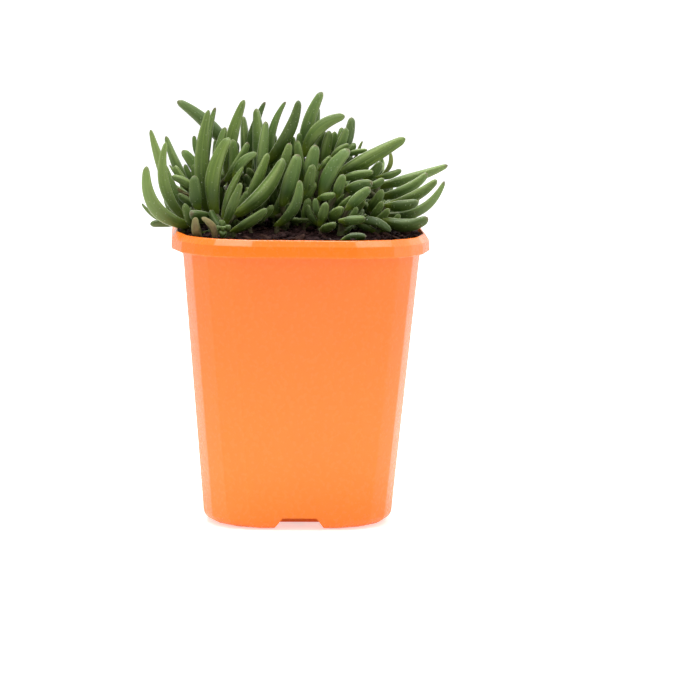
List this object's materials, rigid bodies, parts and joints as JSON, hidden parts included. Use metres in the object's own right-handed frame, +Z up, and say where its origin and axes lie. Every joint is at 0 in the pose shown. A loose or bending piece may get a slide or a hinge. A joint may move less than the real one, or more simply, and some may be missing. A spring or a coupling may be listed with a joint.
{
  "type": "potted ice plant",
  "caption": "Tapered square nursery pot with a rolled lip, filled with soil, holding a clump of branched stems with upright fleshy finger leaves",
  "frame": {"origin": "middle of the flat base of the pot, on the surface that it stands on", "axes": "+Z up, pot front towards -Y, +X to the right seen from the front"},
  "size_m": [0.1197, 0.1064, 0.1671],
  "materials": {
    "pot_plastic": "satin orange moulded plastic",
    "soil": "dark crumbly potting soil",
    "stem": "rough green-brown plant stem",
    "leaf": "waxy fleshy green leaf"
  },
  "bodies": {
    "root": {"leaf_01": "leaf", "leaf_02": "leaf", "leaf_03": "leaf", "leaf_04": "leaf", "leaf_05": "leaf", "leaf_06": "leaf", "leaf_07": "leaf", "leaf_08": "leaf", "leaf_09": "leaf", "leaf_10": "leaf", "leaf_11": "leaf", "leaf_12": "leaf", "leaf_13": "leaf", "leaf_14": "leaf", "leaf_15": "leaf", "leaf_16": "leaf", "leaf_17": "leaf", "leaf_18": "leaf", "leaf_19": "leaf", "leaf_20": "leaf", "leaf_21": "leaf", "leaf_22": "leaf", "leaf_23": "leaf", "leaf_24": "leaf", "leaf_25": "leaf", "leaf_26": "leaf", "leaf_27": "leaf", "leaf_28": "leaf", "leaf_29": "leaf", "leaf_30": "leaf", "leaf_31": "leaf", "leaf_32": "leaf", "leaf_33": "leaf", "leaf_34": "leaf", "leaf_35": "leaf", "leaf_36": "leaf", "leaf_37": "leaf", "leaf_38": "leaf", "leaf_39": "leaf", "leaf_40": "leaf", "leaf_41": "leaf", "leaf_42": "leaf", "leaf_43": "leaf", "leaf_44": "leaf", "leaf_45": "leaf", "leaf_46": "leaf", "leaf_47": "leaf", "leaf_48": "leaf", "leaf_49": "leaf", "leaf_50": "leaf", "leaf_51": "leaf", "leaf_52": "leaf", "leaf_53": "leaf", "pot": "pot_plastic", "soil": "soil", "stem_back": "stem", "stem_centre": "stem", "stem_inner_left": "stem", "stem_left": "stem", "stem_right": "stem"}
  },
  "joints": []
}
